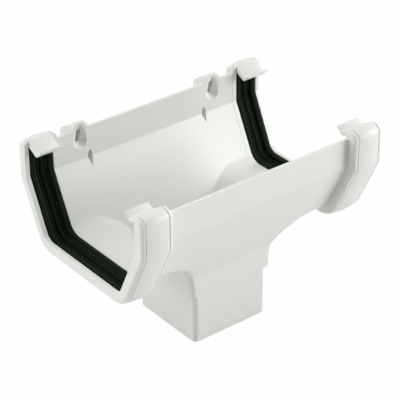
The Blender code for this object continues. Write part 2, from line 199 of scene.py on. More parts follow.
def next_ring(obj, ring, points):
    """Extrude a loop of edges and slide its copy onto the given points."""
    bpy.ops.mesh.select_mode(type="EDGE")
    select_only(obj, edges=loop_edges(ring))
    bpy.ops.mesh.extrude_region_move(TRANSFORM_OT_translate={"value": (0, 0, 0)})
    mesh = bmesh.from_edit_mesh(obj.data)
    mesh.verts.ensure_lookup_table()
    fresh = []
    for i, point in zip(ring, points):
        vertex = next(e.other_vert(mesh.verts[i]) for e in mesh.verts[i].link_edges
                      if e.other_vert(mesh.verts[i]).select)
        vertex.co = point
        fresh.append(vertex)
    mesh.verts.index_update()
    bmesh.update_edit_mesh(obj.data)
    return [vertex.index for vertex in fresh]


def cap(obj, ring):
    bpy.ops.mesh.select_mode(type="EDGE")
    select_only(obj, edges=loop_edges(ring))
    bpy.ops.mesh.edge_face_add()


def finish_edit(obj):
    bpy.ops.mesh.select_all(action="SELECT")
    bpy.ops.mesh.normals_make_consistent(inside=False)
    bpy.ops.object.mode_set(mode="OBJECT")
    return obj


def loft(name, stations):
    """A closed piece through rings of 3-D points, all with the same number of points."""
    obj = start_piece(name)
    first = draw_loop(obj, stations[0])
    ring = first
    for points in stations[1:]:
        ring = next_ring(obj, ring, points)
    cap(obj, first)
    cap(obj, ring)
    return finish_edit(obj)


def along_x(stations):
    return [[(x, y, z) for y, z in outline] for x, outline in stations]


# %% [markdown]
# ## Combining and rounding
# Forms are joined and cut with exact Booleans that are applied at once. Edges are rounded after that, and
# a test on each edge's place picks them, so the same code still finds them when a size changes.

# %% Booleans and bevels


def combine(target, tool, operation):
    """One exact Boolean, applied, with the tool removed."""
    modifier = target.modifiers.new(operation.lower(), "BOOLEAN")
    modifier.operation = operation
    modifier.solver = "EXACT"
    modifier.object = tool
    deselect_all()
    bpy.context.view_layer.objects.active = target
    bpy.ops.object.modifier_apply(modifier=modifier.name)
    bpy.data.objects.remove(tool)


def bevel_edges(obj, radius, segments, chosen):
    """Round the edges that chosen(edge) picks out, and say how many."""
    deselect_all()
    bpy.context.view_layer.objects.active = obj
    obj.select_set(True)
    bpy.ops.object.mode_set(mode="EDIT")
    bpy.ops.mesh.select_mode(type="EDGE")
    bpy.ops.mesh.select_all(action="DESELECT")
    mesh = bmesh.from_edit_mesh(obj.data)
    picked = [edge for edge in mesh.edges if len(edge.link_faces) == 2 and chosen(edge)]
    for edge in picked:
        edge.select_set(True)
    bmesh.update_edit_mesh(obj.data)
    if picked:
        bpy.ops.mesh.bevel(offset=radius, segments=segments, affect="EDGES", clamp_overlap=False)
    bpy.ops.object.mode_set(mode="OBJECT")
    print(obj.name, "rounded", len(picked), "edges by", round(radius * 1000, 2), "mm")


def middle(edge):
    return (edge.verts[0].co + edge.verts[1].co) / 2


# %% [markdown]
# ## The trough and hopper
# The sloping sides of the trough run straight down into the faces of the square spigot, while the two
# ends flare out on an arc into the trough's underside. Two plain profiles give exactly that: the cross
# section pushed along the gutter, and the side view pushed across it. What both have in common is the
# form, and only its brow, where they meet, has to be rounded.

# %% Trough and hopper profiles
BODY_KINK_R = 0.0060
FOOT_R = 0.0141
RIM_EDGE_R = 0.0006
WAIST_Z = 0.0571
WAIST_R = 0.0015
HOPPER_FLARE_R = 0.0265
HOPPER_CORNER_R = 0.0038
SHOULDER_Z = 0.0395
SHOULDER_STEP_X = 0.0032
SHOULDER_STEP_Y = 0.0017
SPIGOT_SIDE = 0.0650

SPIGOT_HALF = SPIGOT_SIDE / 2
HOPPER_HALF_X = SPIGOT_HALF + SHOULDER_STEP_X
HOPPER_HALF_Y = SPIGOT_HALF + SHOULDER_STEP_Y
BODY_SLOPE = (BODY_HALF_WIDTH - HOPPER_HALF_Y) / (BODY_KINK_Z - WAIST_Z)
SHELL_X = BODY_X + RIB_WIDTH / 2
print("sides slope", round(BODY_SLOPE, 3), "across for 1 up")


def body_corners(depth):
    kink, foot = inset_corners(BODY_HALF_WIDTH, BODY_KINK_Z, BODY_SLOPE, UNDERSIDE_Z, depth)
    return (*kink, BODY_KINK_R - depth, 6), (*foot, FOOT_R - depth, 16)


def trough_outline(depth, back_z, front_z, low_z, edge_r):
    kink, _ = body_corners(depth)
    waist = HOPPER_HALF_Y - depth
    waist_z = kink[1] - (kink[0] - waist) / BODY_SLOPE
    back = [(waist, low_z, 0, 0), (waist, waist_z, WAIST_R, 3), kink, (kink[0], back_z, edge_r, 4)]
    front = mirrored(back)[len(back):]
    front[0] = (-kink[0], front_z, edge_r, 4)
    return rounded(back + front)


def hopper_outline(depth, end_x, top_z, low_z):
    radius = HOPPER_FLARE_R + depth
    centre_x = HOPPER_HALF_X + HOPPER_FLARE_R
    centre_z = UNDERSIDE_Z - HOPPER_FLARE_R
    arc = [(centre_x - radius * math.cos(a), centre_z + radius * math.sin(a))
           for a in (math.pi / 2 * i / 24 for i in range(25))]
    right = [(HOPPER_HALF_X - depth, low_z), *arc, (end_x, UNDERSIDE_Z + depth), (end_x, top_z)]
    return right + [(-x, z) for x, z in reversed(right)]


# %% [markdown]
# ## The brow
# The brow is the edge where both profiles meet. It gets one bevel of the hopper's corner radius. Higher up
# the rounding grows to that of the trough's foot, so each cross section of the bevel is scaled about the
# sharp edge that it came from.

# %% Rounded brow
FACES_ACROSS = 0.3
FACES_UP = 0.5


def is_brow(edge, end_x, low_z):
    point = middle(edge)
    if abs(point.x) > end_x - 10 * TINY or point.z < low_z + 10 * TINY:
        return False
    across = [abs(face.normal.y) for face in edge.link_faces]
    along = [face.normal for face in edge.link_faces if abs(face.normal.y) < 1e-3]
    return max(across) > FACES_ACROSS and len(along) == 1 and along[0].z < FACES_UP


def brow_stations(obj, end_x, low_z):
    """Each vertex of the brow, with the direction of the brow there."""
    mesh = bmesh.new()
    mesh.from_mesh(obj.data)
    stations = []
    for vertex in mesh.verts:
        edges = [edge for edge in vertex.link_edges if is_brow(edge, end_x, low_z)]
        away = [edge.other_vert(vertex).co - vertex.co for edge in edges]
        if away:
            run = away[0].normalized() - (away[1].normalized() if len(away) > 1 else away[0] * 0)
            stations.append((vertex.co.copy(), run.normalized()))
    mesh.free()
    return stations


def brow_growth(z, depth):
    """How much wider than at the hopper's corner the brow is at height z."""
    centre_z = UNDERSIDE_Z - HOPPER_FLARE_R
    rise = (z - centre_z) / (HOPPER_FLARE_R + depth)
    share = math.asin(max(0.0, min(1.0, rise))) / (math.pi / 2)
    foot_reach = (FOOT_R - depth) * math.tan((math.pi / 2 - math.atan(BODY_SLOPE)) / 2)
    return 1 + (foot_reach / (HOPPER_CORNER_R - depth) - 1) * share ** 4


def widen_brow(obj, stations, depth):
    """Scale each cross section of the rounded brow about the sharp edge it came from."""
    moved = 0
    for vertex in obj.data.vertices:
        near = [(abs((vertex.co - at).dot(run)), i) for i, (at, run) in enumerate(stations)
                if (vertex.co - at).length < 2 * (HOPPER_CORNER_R - depth)]
        if near:
            at = stations[min(near)[1]][0]
            vertex.co = at + (vertex.co - at) * brow_growth(at.z, depth)
            moved += 1
    print(obj.name, "brow points widened", moved)


# %% Trough and hopper solid


def trough_solid(name, depth, end_x, outline, low_z):
    solid = loft(name, along_x([(-end_x, outline), (end_x, outline)]))
    side_view = hopper_outline(depth, end_x + BEYOND, max(z for _, z in outline) + BEYOND, low_z - BEYOND)
    reach = BODY_HALF_WIDTH + BEYOND
    across = loft(name + "_side", [[(x, y, z) for x, z in side_view] for y in (-reach, reach)])
    combine(solid, across, "INTERSECT")
    stations = brow_stations(solid, end_x, low_z)
    bevel_edges(solid, HOPPER_CORNER_R - depth, 8, lambda edge: is_brow(edge, end_x, low_z))
    widen_brow(solid, stations, depth)
    return solid


outer_form = trough_outline(0.0, RIM_BACK_Z, RIM_FRONT_Z, SHOULDER_Z, RIM_EDGE_R)
body = trough_solid("outlet_moulding", 0.0, SHELL_X, outer_form, SHOULDER_Z)

# %% [markdown]
# ## The spigot and its shoulder
# The spigot is a square tube with rounded corners. The hopper stands a few millimetres wider than the
# spigot at its two ends, and that shoulder is the stop for the downpipe.

# %% Square spigot
SHOULDER_EDGE_R = 0.0005
SPIGOT_CORNER_R = 0.0040


def square_column(name, half_side, corner_r, z0, z1):
    signs = [(1, 1), (-1, 1), (-1, -1), (1, -1)]
    outline = rounded([(half_side * x, half_side * y, corner_r, 8) for x, y in signs])
    return loft(name, [[(x, y, z) for x, y in outline] for z in (z0, z1)])


def is_shoulder(edge):
    return all(abs(vertex.co.z - SHOULDER_Z) < TINY for vertex in edge.verts)


bevel_edges(body, SHOULDER_EDGE_R, 5, is_shoulder)
combine(body, square_column("spigot", SPIGOT_HALF, SPIGOT_CORNER_R, 0.0, SHOULDER_Z + OVERLAP), "UNION")

# %% [markdown]
# ## Fixing bosses
# On the wall side two blocks stand off the trough so that a screw can pull it against the board behind.
# Each has an upright slot, countersunk from the inside, with a round ear rising above the rim. Beside
# each boss is a blind pocket in a thickened strip of the wall.

# %% Bosses, ears and pocket housings
BOSS_INSET = 0.0191
BOSS_HALF_LENGTH = 0.0100
BOSS_DEPTH = 0.0081
BOSS_FOOT_DROP = 0.0025
BOSS_FOOT_SLOPE = 0.6
BOSS_EDGE_R = 0.0013
BOSS_BACK_RISE = 0.0010
BOSS_SIDE_R = 0.0011
EAR_R = 0.0063
EAR_THICKNESS = 0.0026
EAR_EDGE_R = 0.0005
RECESS_DROP = 0.0008
POCKET_INSET = 0.0080
POCKET_WIDTH = 0.0040
POCKET_RISE = 0.0065
POCKET_HEIGHT = 0.0118
POCKET_DEPTH = 0.0022
POCKET_WALL = 0.0015
HOUSING_EDGE_R = 0.0020
HOUSING_RUN = 0.0040

BOSS_X = BODY_X - BOSS_INSET
BOSS_BACK_Y = BODY_HALF_WIDTH + BOSS_DEPTH
BOSS_FOOT_Z = BODY_KINK_Z - BOSS_FOOT_DROP
RECESS_TOP_Z = RIM_BACK_Z - RECESS_DROP
POCKET_X = BOSS_X - POCKET_INSET
POCKET_BACK_Y = BODY_HALF_WIDTH + POCKET_DEPTH
POCKET_TOP_Z = BODY_KINK_Z + POCKET_RISE
POCKET_FOOT_Z = POCKET_TOP_Z - POCKET_HEIGHT


def prism_x(name, outline, x0, x1):
    return loft(name, along_x([(x0, outline), (x1, outline)]))


def wall_middle(z):
    """Y of the middle of the trough's wall at height z."""
    return BODY_HALF_WIDTH - BODY_WALL / 2 - BODY_SLOPE * max(0.0, BODY_KINK_Z - z)


def same(edge, axis):
    """Whether both ends of an edge have the same place on one axis."""
    return abs(edge.verts[0].co[axis] - edge.verts[1].co[axis]) < TINY


def half_circle(x, z, radius, segments):
    """Upper half circle of (x, z) from right to left."""
    return [(x + radius * math.cos(a), z + radius * math.sin(a))
            for a in (math.pi * i / segments for i in range(segments + 1))]


def boss_block(side):
    inner = wall_middle(RIM_BACK_Z)
    foot_z = BOSS_FOOT_Z - (BOSS_BACK_Y - inner) * BOSS_FOOT_SLOPE
    outline = rounded([(inner, RIM_BACK_Z, 0, 0),
                       (BOSS_BACK_Y, RIM_BACK_Z + BOSS_BACK_RISE, BOSS_EDGE_R, 6),
                       (BOSS_BACK_Y, BOSS_FOOT_Z, 2 * BOSS_EDGE_R, 6),
                       (wall_middle(foot_z), foot_z, 0, 0),
                       (inner, BODY_KINK_Z, 0, 0)])
    x0 = side * BOSS_X - BOSS_HALF_LENGTH
    block = prism_x("boss", outline, x0, x0 + 2 * BOSS_HALF_LENGTH)
    bevel_edges(block, BOSS_SIDE_R, 3, lambda edge: same(edge, 0)
                and middle(edge).y > BODY_HALF_WIDTH + OVERLAP / 2)
    return block


def ear_slab(side):
    x = side * BOSS_X
    low_z = RIM_BACK_Z - BEYOND
    arc = half_circle(x, RECESS_TOP_Z, EAR_R, 32)
    outline = [(x + EAR_R, low_z), *arc, (x - EAR_R, low_z)]
    y0 = BODY_HALF_WIDTH - BODY_WALL - STEP
    ear = loft("ear", [[(px, y, pz) for px, pz in outline] for y in (y0, y0 + STEP + EAR_THICKNESS)])
    bevel_edges(ear, EAR_EDGE_R, 3, lambda edge: same(edge, 1)
                and middle(edge).y > BODY_HALF_WIDTH and middle(edge).z > RIM_BACK_Z - OVERLAP)
    return ear


def pocket_housing(side):
    half = POCKET_WIDTH / 2 + POCKET_WALL
    back = POCKET_BACK_Y + POCKET_WALL
    top_z = POCKET_TOP_Z + POCKET_WALL
    foot_z = POCKET_FOOT_Z - HOUSING_RUN
    outline = rounded([(wall_middle(top_z), top_z + HOUSING_RUN, 0, 0),
                       (back, top_z, HOUSING_EDGE_R, 5),
                       (back, POCKET_FOOT_Z + HOUSING_RUN, HOUSING_EDGE_R, 5),
                       (wall_middle(foot_z), foot_z, 0, 0),
                       (wall_middle(BODY_KINK_Z), BODY_KINK_Z, 0, 0)])
    return prism_x("pocket_housing", outline, side * POCKET_X - half, side * POCKET_X + half)


for side in (-1, 1):
    for piece in (boss_block(side), ear_slab(side), pocket_housing(side)):
        combine(body, piece, "UNION")
print("outer form", len(body.data.polygons), "faces")

# %% [markdown]
# ## Hollowing
# The same two profiles, moved inward by the wall's thickness, make the cavity. Cutting it from the outer
# form leaves an even wall everywhere, also round the flare of the hopper.

# %% Cavity and bore
SPIGOT_WALL = 0.0023

above = RIM_BACK_Z + 2 * BEYOND
ledge_z = SHOULDER_Z + BODY_WALL
inner_form = trough_outline(BODY_WALL, above, above, ledge_z, 0.0)
combine(body, trough_solid("cavity", BODY_WALL, SHELL_X + BEYOND, inner_form, ledge_z), "DIFFERENCE")
bore = square_column("bore", SPIGOT_HALF - SPIGOT_WALL, SPIGOT_CORNER_R - SPIGOT_WALL,
                     -BEYOND, ledge_z + OVERLAP)
combine(body, bore, "DIFFERENCE")
print("hollow form", len(body.data.polygons), "faces")

# %% [markdown]
# ## Screw slots and blind pockets
# Each boss has a countersink that is shallow at its top and deep at its foot. The slot behind it ends in a
# narrow slit, so the slot looks dark from the front. Above the rim it stops inside the ear. The pockets
# are pointed at both ends.

# %% Recess and pocket cutters
RECESS_R = 0.0060
RECESS_RISE = 0.0088
RECESS_SHALLOW = 0.0009
RECESS_DEEP = 0.0042
SCREW_SLOT_WIDTH = 0.0034
SLOT_TOP_DROP = 0.0007
SLOT_EAR_SHARE = 0.85
SLIT_WIDTH = 0.0008
SLIT_WALL = 0.0012
POCKET_MOUTH_SHARE = 1.1
POCKET_END_SHARE = 0.7
SOFT_EDGE_R = 0.0004


def stadium(x, z0, z1, radius, segments):
    """Upright outline of (x, z) with round ends about z0 and z1."""
    top = half_circle(x, z1, radius, segments)
    low = [(x - radius * math.cos(a), z0 - radius * math.sin(a))
           for a in (math.pi * i / segments for i in range(segments + 1))]
    return top + low


def slanted_floor(throat, face_y, top_z, foot_z):
    """The throat's outline, laid on a floor that gets deeper toward the foot."""
    ring = []
    for x, z in throat:
        share = (top_z - z) / (top_z - foot_z)
        ring.append((x, face_y + RECESS_SHALLOW + (RECESS_DEEP - RECESS_SHALLOW) * share, z))
    return ring


def recess_cutter(side):
    """Countersink, then the slot, which drops below the block's top behind the ear, then the slit."""
    x = side * BOSS_X
    face_y = BODY_HALF_WIDTH - BODY_WALL
    slot_r = SCREW_SLOT_WIDTH / 2
    z1 = RECESS_TOP_Z
    z0 = z1 - RECESS_RISE
    mouth = stadium(x, z0, z1, RECESS_R, 20)
    throat = stadium(x, z0, z1 + slot_r, slot_r, 20)
    rings = [[(px, y, pz) for px, pz in mouth] for y in (face_y - OVERLAP, face_y - STEP)]
    floor_ring = slanted_floor(throat, face_y, z1 + 2 * slot_r, z0 - slot_r)
    rings.append(floor_ring)
    slot_top_z = RIM_BACK_Z - SLOT_TOP_DROP - slot_r
    behind_ear = face_y + SLOT_EAR_SHARE * EAR_THICKNESS
    for outline, extra in ((throat, 0.0), (stadium(x, z0, slot_top_z, slot_r, 20), STEP)):
        rings.append([(px, max(behind_ear, front[1] + STEP) + extra, pz)
                      for (px, pz), front in zip(outline, floor_ring)])
    inner_y = BOSS_BACK_Y - SLIT_WALL
    slit_r = SLIT_WIDTH / 2
    for y, radius in ((inner_y, slot_r), (inner_y + STEP, slit_r), (BOSS_BACK_Y + OVERLAP, slit_r)):
        rings.append([(px, y, pz) for px, pz in stadium(x, z0, slot_top_z, radius, 20)])
    return loft("recess", rings)


def lens(x, z0, z1, width):
    """Upright outline of (x, z), pointed at both ends."""
    right = [(x + width / 2 * math.sin(math.pi * i / 16), z0 + (z1 - z0) * i / 16) for i in range(17)]
    left = [(2 * x - px, pz) for px, pz in reversed(right[1:-1])]
    return right + left


def pocket_cutter(side):
    """Slit that is pointed at both ends and narrows with its depth."""
    mouth_y = BODY_HALF_WIDTH - BODY_WALL - HOUSING_RUN
    mouth = (mouth_y, -HOUSING_RUN / 3, HOUSING_RUN / 3, POCKET_MOUTH_SHARE)
    end = (POCKET_BACK_Y, HOUSING_RUN, -HOUSING_RUN / 2, POCKET_END_SHARE)
    rings = []
    for y, foot, top, share in (mouth, end):
        outline = lens(side * POCKET_X, POCKET_FOOT_Z + foot, POCKET_TOP_Z + top, POCKET_WIDTH * share)
        rings.append([(x, y, z) for x, z in outline])
    return loft("pocket", rings)


for side in (-1, 1):
    combine(body, recess_cutter(side), "DIFFERENCE")
    combine(body, pocket_cutter(side), "DIFFERENCE")

# %% Soft inner rim and spigot end


def is_rim_inner(edge):
    inner_y = BODY_HALF_WIDTH - BODY_WALL
    level = all(min(abs(v.co.z - RIM_BACK_Z), abs(v.co.z - RIM_FRONT_Z)) < 100 * TINY for v in edge.verts)
    return level and all(abs(abs(v.co.y) - inner_y) < 20 * TINY for v in edge.verts)


bevel_edges(body, SOFT_EDGE_R, 3, is_rim_inner)
bevel_edges(body, SOFT_EDGE_R, 3, lambda edge: all(abs(v.co.z) < TINY for v in edge.verts))

# %% [markdown]
# ## End sockets
# Each end is a U-shaped socket: a rib against the trough, a thin channel wall that the strap runs round
# and the seal lies in, and the end flange with its broad rounded edge. It is one loft through stations
# along the gutter. The crest over each wall end is rounded the same way as the flange.

# %% Outlines of the socket
END_SLOPE = 0.4737
END_CORNER_R = 0.0180
END_KINK_R = 0.0080
CREST_R = 0.0058
CREST_RISE = 0.10
FLANGE_CREST_FALL = 0.8
FLANGE_DEPTH = 0.0086
FLANGE_EDGE_R = 0.0030
LIP_EDGE_R = 0.0009
CHANNEL_OUTER_DEPTH = 0.0025
CHANNEL_INNER_DEPTH = 0.0048
CHANNEL_DROP = 0.0046
RIB_EDGE_R = 0.0030
WALL_EDGE_R = 0.0012
FINE_EDGE_R = 0.0004
CLEARANCE = 0.0003
MIN_KINK_R = 0.001

CHANNEL_TOP_Z = CREST_Z - CHANNEL_DROP


def end_corners(depth):
    kink, foot = inset_corners(END_HALF_WIDTH, END_KINK_Z, END_SLOPE, END_FLOOR_Z, depth)
    return (*kink, max(END_KINK_R - depth, MIN_KINK_R), 6), (*foot, END_CORNER_R - depth, 16)


def ring_top(outer_y, inner_y, z, outer_r, inner_r):
    return [(outer_y, z, outer_r, 10), (inner_y, z + (outer_y - inner_y) * CREST_RISE, inner_r, 5)]


def flange_outline(edge, lip):
    side = END_HALF_WIDTH - edge
    inner_r = max(CLEARANCE, WALL_EDGE_R - lip)
    crest_z = CREST_Z - edge * FLANGE_CREST_FALL
    top = ring_top(side, END_HALF_WIDTH - FLANGE_DEPTH + lip, crest_z, CREST_R - edge / 2, inner_r)
    return u_outline(end_corners(edge), top, end_corners(FLANGE_DEPTH - lip))


def channel_outline():
    outer_y = END_HALF_WIDTH - CHANNEL_OUTER_DEPTH
    inner_y = END_HALF_WIDTH - CHANNEL_INNER_DEPTH
    top = ring_top(outer_y, inner_y, CHANNEL_TOP_Z, FINE_EDGE_R, FINE_EDGE_R)
    return u_outline(end_corners(CHANNEL_OUTER_DEPTH), top, end_corners(CHANNEL_INNER_DEPTH))


def rib_outline(edge):
    depth = BODY_WALL + STEP
    inner_y = BODY_HALF_WIDTH - depth
    top = ring_top(END_HALF_WIDTH - edge, inner_y, CREST_Z - edge, CREST_R - edge / 2, WALL_EDGE_R)
    return u_outline(end_corners(edge), top, body_corners(depth))


# %% Socket lofts


def quarter(radius, count):
    """Pairs of (distance along, distance drawn in) round a quarter turn, from the tangent to the end."""
    turns = [math.pi / 2 * i / count for i in range(count + 1)]
    return [(radius * math.sin(turn), radius * (1 - math.cos(turn))) for turn in turns]


def lip_rounding(x):
    reach = x - (HALF_LENGTH - LIP_EDGE_R)
    return LIP_EDGE_R - math.sqrt(max(0.0, LIP_EDGE_R ** 2 - reach ** 2)) if reach > 0 else 0.0


def socket(name, side):
    stations = [(BODY_X + RIB_EDGE_R - run, rib_outline(drawn))
                for run, drawn in reversed(quarter(RIB_EDGE_R, 7))]
    stations += [(RIB_X - SOFT_EDGE_R + run, rib_outline(drawn)) for run, drawn in quarter(SOFT_EDGE_R, 3)]
    stations += [(RIB_X, channel_outline()), (FLANGE_X, channel_outline())]
    stations += [(FLANGE_X + SOFT_EDGE_R - run, flange_outline(drawn, 0))
                 for run, drawn in reversed(quarter(SOFT_EDGE_R, 3))]
    for run, drawn in quarter(FLANGE_EDGE_R, 10):
        x = HALF_LENGTH - FLANGE_EDGE_R + run
        if x > FLANGE_X + SOFT_EDGE_R + TINY:
            stations.append((x, flange_outline(drawn, lip_rounding(x))))
    return loft(name, along_x([(side * x, outline) for x, outline in stations]))


for side in (-1, 1):
    combine(body, socket("socket", side), "UNION")
print("moulding", len(body.data.polygons), "faces")

# %% [markdown]
# ## Seals
# A rubber strip lies in the groove of each socket and presses on the gutter. Across its width it has two
# broad lands, a thin rib between them and fine lines that the extruder leaves along it. The strip is the
# same U outline again, at a height that changes from station to station.

# %% Rubber seals
SEAL_DEPTH = 0.0051
SEAL_DROP = 0.0014
SEAL_TOP_Z = CHANNEL_TOP_Z - SEAL_DROP
STRIP_X = RIB_X + CLEARANCE
STRIP_WIDTH = CHANNEL_WIDTH - 2 * CLEARANCE
# Place across the strip, from the trough outward (0 to 1), and height above its base in millimetres.
SEAL_SECTION = [
    (0.000, 2.2), (0.010, 3.0), (0.030, 3.55), (0.060, 3.85), (0.095, 4.0), (0.100, 3.75),
    (0.110, 3.75), (0.115, 4.0), (0.160, 3.9), (0.200, 3.6), (0.225, 3.0), (0.240, 1.9),
    (0.250, 1.0), (0.300, 0.9), (0.350, 0.9), (0.355, 1.2), (0.365, 1.2), (0.370, 0.9),
    (0.420, 0.9), (0.465, 1.0), (0.475, 1.9), (0.485, 2.35), (0.500, 2.45), (0.515, 2.35),
    (0.525, 1.9), (0.535, 1.0), (0.580, 0.9), (0.630, 0.9), (0.635, 1.2), (0.645, 1.2),
    (0.650, 0.9), (0.700, 0.9), (0.750, 1.0), (0.760, 1.9), (0.775, 3.0), (0.800, 3.6),
    (0.840, 3.9), (0.885, 4.0), (0.890, 3.75), (0.900, 3.75), (0.905, 4.0), (0.940, 3.85),
    (0.970, 3.55), (0.990, 3.0), (1.000, 2.2),
]


def seal_outline(height):
    base = END_HALF_WIDTH - SEAL_DEPTH
    top = [(base, SEAL_TOP_Z, CLEARANCE, 2), (base - height, SEAL_TOP_Z, CLEARANCE, 2)]
    return u_outline(end_corners(SEAL_DEPTH), top, end_corners(SEAL_DEPTH + height))


def seal(name, side):
    return loft(name, along_x([(side * (STRIP_X + STRIP_WIDTH * t), seal_outline(h / 1000))
                               for t, h in SEAL_SECTION]))


seals = {-1: seal("rubber_seal_left", -1), 1: seal("rubber_seal_right", 1)}
print("seal", len(seals[1].data.polygons), "faces")

# %% [markdown]
# ## Retaining straps
# A white strap runs round the outside of each socket and hooks over both walls. Its outer face is
# crowned, so a band of light runs down it. The ends turn over the crest, dip to a valley and rise again
# to the tip that springs over the gutter's edge.

# %% Straps
STRAP_THICKNESS = 0.0022
STRAP_CROWN = 0.0009
HOOK_VALLEY_DEPTH = 0.0175
HOOK_VALLEY_DROP = 0.0058
HOOK_VALLEY_R = 0.0035
HOOK_TIP_DEPTH = 0.0225
HOOK_TIP_DROP = 0.0020
HOOK_TIP_HEIGHT = 0.0018
HOOK_TIP_R = 0.0005
HOOK_THICKNESS = 0.0026
HOOK_ROOT_DROP = 0.0040
HOOK_LIP_DROP = 0.0031

HOOK_VALLEY_Z = CREST_Z - HOOK_VALLEY_DROP
HOOK_TIP_Z = CREST_Z - HOOK_TIP_DROP


def strap_outline(crown, edge):
    """Outline of the strap and its hooks; edge draws all its faces in, near the two sides."""
    y = END_HALF_WIDTH
    tip_y = y - HOOK_TIP_DEPTH
    top = [(y + crown - edge, CREST_Z + crown - edge, CREST_R + crown, 12),
           (y - FLANGE_DEPTH, CREST_Z + FLANGE_DEPTH * CREST_RISE + crown - edge, WALL_EDGE_R, 5),
           (y - HOOK_VALLEY_DEPTH, HOOK_VALLEY_Z + crown - edge, HOOK_VALLEY_R, 7),
           (tip_y + edge, HOOK_TIP_Z + crown / 2 - edge, HOOK_TIP_R - edge, 4),
           (tip_y - FINE_EDGE_R + edge, HOOK_TIP_Z - HOOK_TIP_HEIGHT + edge, HOOK_TIP_R - edge, 3),
           (y - HOOK_VALLEY_DEPTH, HOOK_VALLEY_Z - HOOK_THICKNESS + edge, HOOK_VALLEY_R / 2, 6),
           (y - FLANGE_DEPTH, CREST_Z - HOOK_ROOT_DROP + edge, WALL_EDGE_R, 5),
           (y - STRAP_THICKNESS + edge, CREST_Z - HOOK_LIP_DROP + edge, 2 * FINE_EDGE_R, 4)]
    return u_outline(end_corners(edge - crown), top, end_corners(STRAP_THICKNESS - edge))


def strap(name, side):
    soft = SOFT_EDGE_R
    places = [(soft - run, drawn) for run, drawn in reversed(quarter(soft, 3))]
    places += [(soft + (STRIP_WIDTH - 2 * soft) * i / 16, 0.0) for i in range(1, 16)]
    places += [(STRIP_WIDTH - soft + run, drawn) for run, drawn in quarter(soft, 3)]
    stations = []
    for run, drawn in places:
        crown = STRAP_CROWN * (1 - (2 * run / STRIP_WIDTH - 1) ** 2)
        stations.append((side * (STRIP_X + run), strap_outline(crown, drawn)))
    return loft(name, along_x(stations))


straps = {-1: strap("strap_left", -1), 1: strap("strap_right", 1)}
print("strap", len(straps[1].data.polygons), "faces")

# %% [markdown]
# ## Shading normals
# Large flat faces next to small fillets shade badly if every face pulls on the normals alike. Smooth
# shading by angle, and then normals weighted by face area, keep the flats flat and put all of the turn
# into the fillets. The pieces were drawn about the spigot's axis, and move here to the middle of the box.

# %% Smooth shading and place
SMOOTH_ANGLE = 32
FACE_WEIGHT = 60
SHIFT_Y = (END_HALF_WIDTH + STRAP_CROWN - BOSS_BACK_Y) / 2


def finish_piece(obj):
    deselect_all()
    bpy.context.view_layer.objects.active = obj
    obj.select_set(True)
    for vertex in obj.data.vertices:
        vertex.co.y += SHIFT_Y
    bpy.ops.object.shade_smooth_by_angle(angle=math.radians(SMOOTH_ANGLE))
    weighted = obj.modifiers.new("weighted", "WEIGHTED_NORMAL")
    weighted.keep_sharp = True
    weighted.weight = FACE_WEIGHT
    bpy.ops.object.modifier_apply(modifier=weighted.name)


for piece in (body, *seals.values(), *straps.values()):
    finish_piece(piece)
print("moved along Y by", round(SHIFT_Y * 1000, 2), "mm")

# %% [markdown]
# ## Materials
# White uPVC is a satin, slightly milky plastic. Its surface is never quite flat: there is a long soft
# waviness from the mould and a faint grain, which break up the reflections. Both plastics and the rubber
# use one shared group for that unevenness, each with its own values.

# %% Shared unevenness group


def moulded_surface_group():
    group = bpy.data.node_groups.new("moulded_surface", "ShaderNodeTree")
    for name in ("Wave Size", "Grain Size", "Grain Share"):
        group.interface.new_socket(name=name, in_out="INPUT", socket_type="NodeSocketFloat")
    for name in ("Height", "Mottle"):
        group.interface.new_socket(name=name, in_out="OUTPUT", socket_type="NodeSocketFloat")
    nodes, links = group.nodes, group.links
    inputs = nodes.new("NodeGroupInput")
    outputs = nodes.new("NodeGroupOutput")
    place = nodes.new("ShaderNodeTexCoord")
    wave = nodes.new("ShaderNodeTexNoise")
    wave.inputs["Detail"].default_value = 2.0
    grain = nodes.new("ShaderNodeTexNoise")
    grain.inputs["Detail"].default_value = 4.0
    mix = nodes.new("ShaderNodeMix")
    mix.data_type = "FLOAT"
    links.new(place.outputs["Object"], wave.inputs["Vector"])
    links.new(place.outputs["Object"], grain.inputs["Vector"])
    links.new(inputs.outputs["Wave Size"], wave.inputs["Scale"])
    links.new(inputs.outputs["Grain Size"], grain.inputs["Scale"])
    links.new(inputs.outputs["Grain Share"], mix.inputs["Factor"])
    links.new(wave.outputs["Fac"], mix.inputs["A"])
    links.new(grain.outputs["Fac"], mix.inputs["B"])
    links.new(mix.outputs["Result"], outputs.inputs["Height"])
    links.new(wave.outputs["Fac"], outputs.inputs["Mottle"])
    return group


SURFACE = moulded_surface_group()
print("shared group", SURFACE.name)

# %% Shading helpers


def ranged(nodes, links, source, low, high):
    """Spread a 0 to 1 value between low and high."""
    spread = nodes.new("ShaderNodeMapRange")
    spread.interpolation_type = "SMOOTHSTEP"
    spread.inputs["From Min"].default_value = 0.1
    spread.inputs["From Max"].default_value = 0.9
    spread.inputs["To Min"].default_value = low
    spread.inputs["To Max"].default_value = high
    links.new(source, spread.inputs["Value"])
    return spread.outputs["Result"]


def tinted(nodes, links, source, dark, light):
    """Two colours mixed by a mask."""
    mix = nodes.new("ShaderNodeMix")
    mix.data_type = "RGBA"
    mix.inputs["A"].default_value = dark
    mix.inputs["B"].default_value = light
    links.new(source, mix.inputs["Factor"])
    return mix.outputs["Result"]


